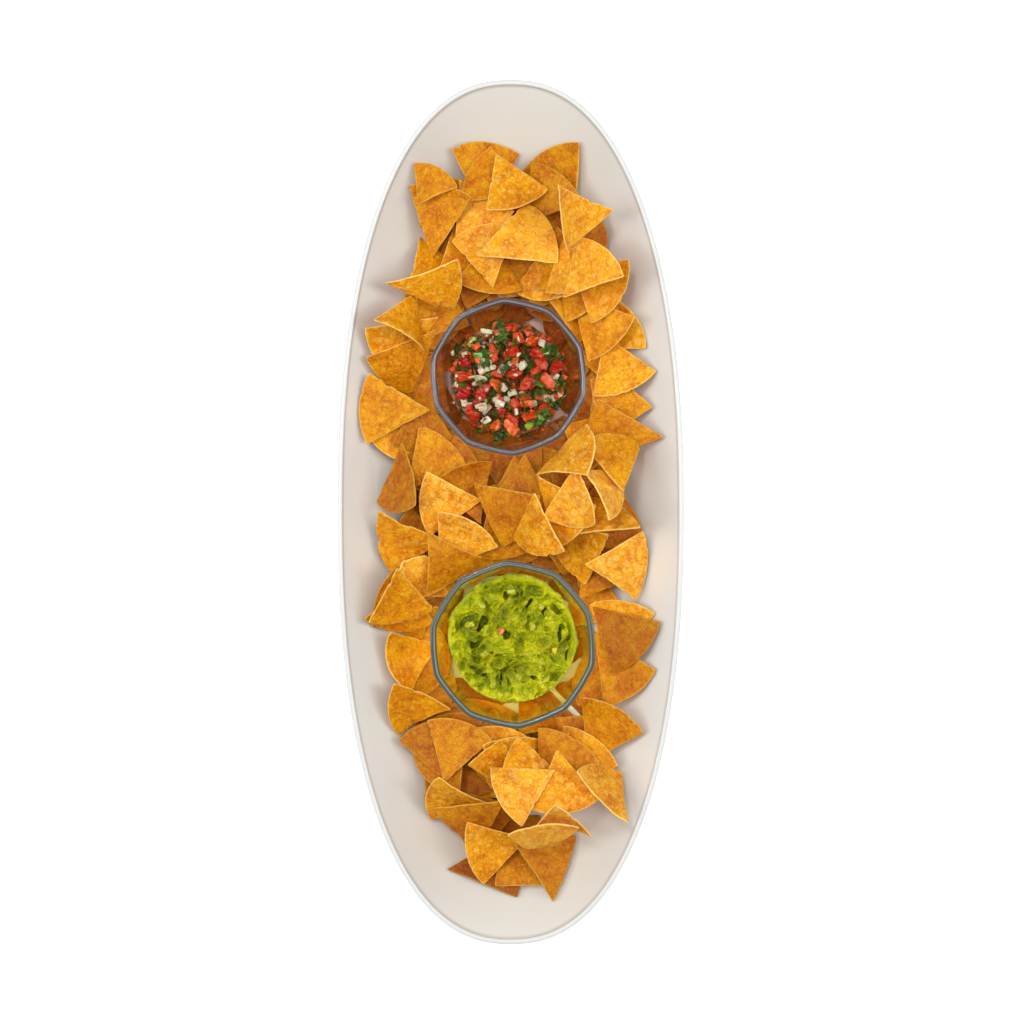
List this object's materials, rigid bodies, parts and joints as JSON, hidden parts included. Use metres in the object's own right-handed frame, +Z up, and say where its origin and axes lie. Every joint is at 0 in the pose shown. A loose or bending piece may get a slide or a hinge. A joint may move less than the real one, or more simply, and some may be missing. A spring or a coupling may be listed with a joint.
{
  "type": "chip and dip server",
  "caption": "Long oval glazed serving dish heaped with tortilla chips, with lift-out faceted glass bowls of salsa and guacamole standing on its floor.",
  "frame": {"origin": "centre of the foot ring, on the table under the dish", "axes": "+Y along the dish towards the salsa bowl, +Z up, +X to the right seen from above"},
  "size_m": [0.2434, 0.6068, 0.1057],
  "materials": {
    "dish_glaze": "gloss",
    "bowl_glass": "gloss",
    "tortilla": "matte",
    "salsa_juice": "gloss",
    "tomato": "gloss",
    "onion": "gloss",
    "cilantro": "satin",
    "jalapeno": "gloss",
    "guacamole": "gloss",
    "avocado": "gloss"
  },
  "bodies": {
    "serving_dish": {"bed_chips_guacamole_sides": "tortilla", "bed_chips_middle": "tortilla", "bed_chips_north": "tortilla", "bed_chips_salsa_sides": "tortilla", "bed_chips_south": "tortilla", "serving_dish": "dish_glaze", "top_chip_01": "tortilla", "top_chip_02": "tortilla", "top_chip_03": "tortilla", "top_chip_04": "tortilla", "top_chip_05": "tortilla", "top_chip_06": "tortilla", "top_chip_07": "tortilla", "top_chip_08": "tortilla", "top_chip_09": "tortilla", "top_chip_10": "tortilla", "top_chip_11": "tortilla", "top_chip_12": "tortilla", "top_chip_13": "tortilla", "top_chip_14": "tortilla", "top_chip_15": "tortilla", "top_chip_16": "tortilla", "top_chip_17": "tortilla", "top_chip_18": "tortilla", "top_chip_19": "tortilla", "top_chip_20": "tortilla", "top_chip_21": "tortilla", "top_chip_22": "tortilla", "top_chip_23": "tortilla", "top_chip_24": "tortilla", "top_chip_25": "tortilla", "top_chip_26": "tortilla", "top_chip_27": "tortilla", "top_chip_28": "tortilla", "top_chip_29": "tortilla", "top_chip_30": "tortilla", "top_chip_31": "tortilla", "top_chip_32": "tortilla", "top_chip_33": "tortilla", "top_chip_34": "tortilla", "top_chip_35": "tortilla", "top_chip_36": "tortilla", "top_chip_37": "tortilla", "top_chip_38": "tortilla", "upper_chips_guacamole_sides": "tortilla", "upper_chips_middle": "tortilla", "upper_chips_north": "tortilla", "upper_chips_salsa_sides": "tortilla", "upper_chips_south": "tortilla"},
    "salsa_bowl": {"salsa_bowl": "bowl_glass", "salsa_juice": "salsa_juice", "tomato_dice": "tomato", "onion_dice": "onion", "cilantro_leaves": "cilantro", "jalapeno_slices": "jalapeno"},
    "guacamole_bowl": {"guacamole_bowl": "bowl_glass", "guacamole": "guacamole", "avocado_chunks": "avocado", "guacamole_tomato_bits": "tomato"}
  },
  "joints": [
    {"name": "salsa_bowl_lift", "type": "slide", "parent": "serving_dish", "child": "salsa_bowl", "axis": [0, 0, 1], "range_m": [0, 0.12]},
    {"name": "guacamole_bowl_lift", "type": "slide", "parent": "serving_dish", "child": "guacamole_bowl", "axis": [0, 0, 1], "range_m": [0, 0.12]}
  ]
}
